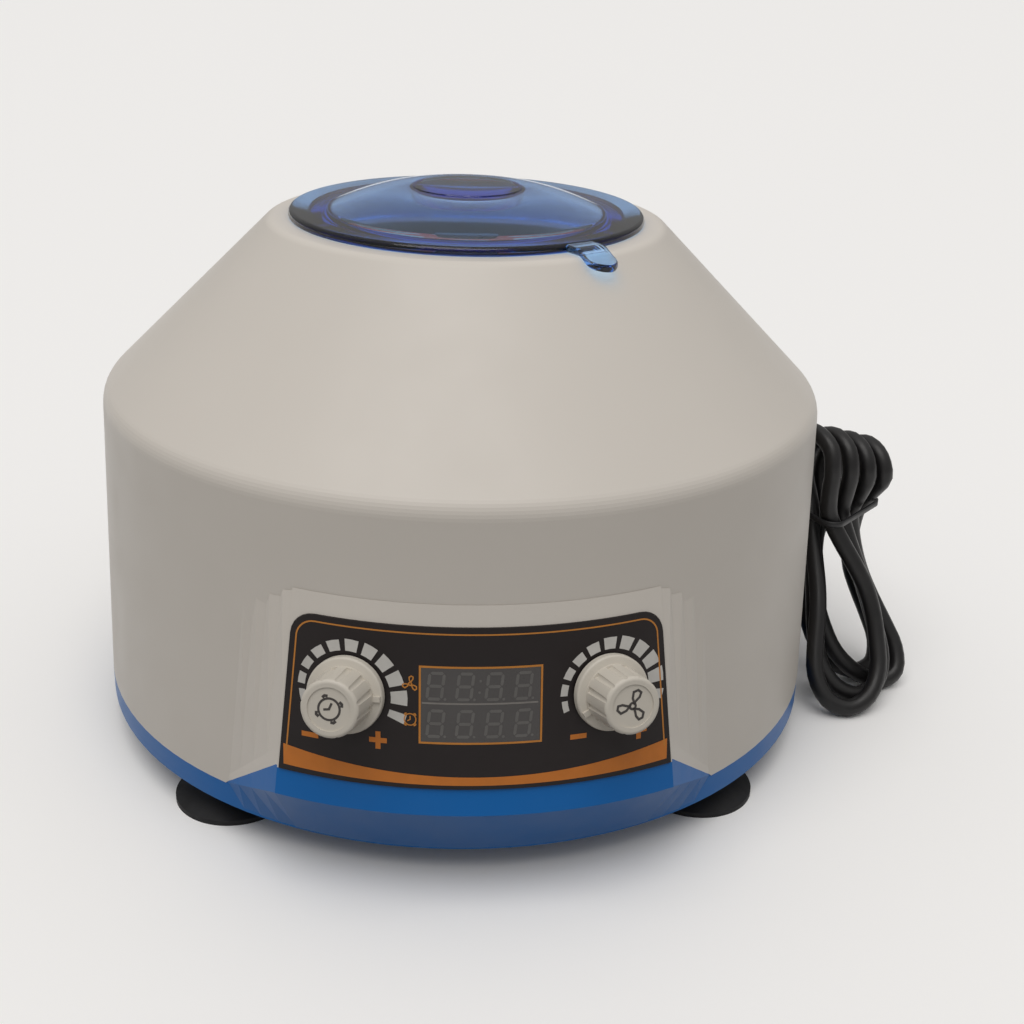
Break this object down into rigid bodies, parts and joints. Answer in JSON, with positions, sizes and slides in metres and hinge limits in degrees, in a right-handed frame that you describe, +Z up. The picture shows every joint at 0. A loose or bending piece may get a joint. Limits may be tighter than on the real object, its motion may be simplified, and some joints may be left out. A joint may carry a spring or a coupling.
{
  "type": "bench centrifuge",
  "caption": "Round bench centrifuge with a blue base tray, white conical housing, clear blue lift-off lid, dark control panel with two knobs, and a tied mains cord.",
  "frame": {"origin": "centre of the bounding box's lower face, on the surface under the feet, without the cord", "axes": "+Z up, -Y towards the control panel, +X to the right of a user at the panel"},
  "size_m": [0.328, 0.3856, 0.1919],
  "materials": {
    "white_plastic": "fine satin moulding",
    "blue_plastic": "satin",
    "knob_plastic": "satin",
    "panel_film": "printed film",
    "window_plastic": "smoked, clear",
    "lid_plastic": "clear blue acrylic",
    "rotor_plastic": "moulded red-brown",
    "sleeve_plastic": "natural",
    "dark_plastic": "moulded",
    "black_rubber": "matte",
    "cord_sheath": "satin PVC",
    "steel": "plated",
    "bowl_metal": "spun",
    "board_green": "solder mask"
  },
  "bodies": {
    "base": {"base_tray": "blue_plastic", "housing": "white_plastic", "control_panel": "panel_film", "display_window": "window_plastic", "display_module": "dark_plastic", "control_board": "board_green", "board_screws": "steel", "time_pot": "steel", "speed_pot": "steel", "pot_nuts": "steel", "bowl": "bowl_metal", "bowl_posts": "steel", "bowl_screws": "steel", "motor": "steel", "motor_plate": "steel", "motor_dampers": "black_rubber", "damper_screws": "steel", "motor_screws": "steel", "power_board": "board_green", "foot_front_left": "black_rubber", "foot_front_right": "black_rubber", "foot_rear_left": "black_rubber", "foot_rear_right": "black_rubber", "foot_screws": "steel", "housing_screws": "steel", "switch_frame": "dark_plastic", "cord_gland": "black_rubber", "cord_tail": "cord_sheath", "cord_hank": "cord_sheath", "cord_tie": "dark_plastic", "cord_lead": "cord_sheath", "plug": "dark_plastic"},
    "lid": {"lid": "lid_plastic"},
    "rotor_set": {"rotor": "rotor_plastic", "rotor_nut": "dark_plastic", "tube_sleeves": "sleeve_plastic", "motor_shaft": "steel"},
    "time_dial": {"time_knob": "knob_plastic", "time_shaft": "steel"},
    "speed_dial": {"speed_knob": "knob_plastic", "speed_shaft": "steel"},
    "rocker": {"power_rocker": "dark_plastic"}
  },
  "joints": [
    {"name": "lid_lift", "type": "slide", "parent": "base", "child": "lid", "axis": [0, 0, 1], "range_m": [0, 0.12]},
    {"name": "rotor_spin", "type": "hinge", "parent": "base", "child": "rotor_set", "pos_m": [0, 0.00788, 0.1], "axis": [0, 0, 1], "continuous": true},
    {"name": "time_knob_turn", "type": "hinge", "parent": "base", "child": "time_dial", "pos_m": [-0.0387, -0.12024, 0.067], "axis": [-0.2818, -0.9331, 0.2235], "range_deg": [-49, 221]},
    {"name": "speed_knob_turn", "type": "hinge", "parent": "base", "child": "speed_dial", "pos_m": [0.0387, -0.12024, 0.067], "axis": [0.2818, -0.9331, 0.2235], "range_deg": [-251, 19]},
    {"name": "rocker_tip", "type": "hinge", "parent": "base", "child": "rocker", "pos_m": [0, 0.13365, 0.052], "axis": [-1, 0, 0], "range_deg": [-18, 0]}
  ]
}
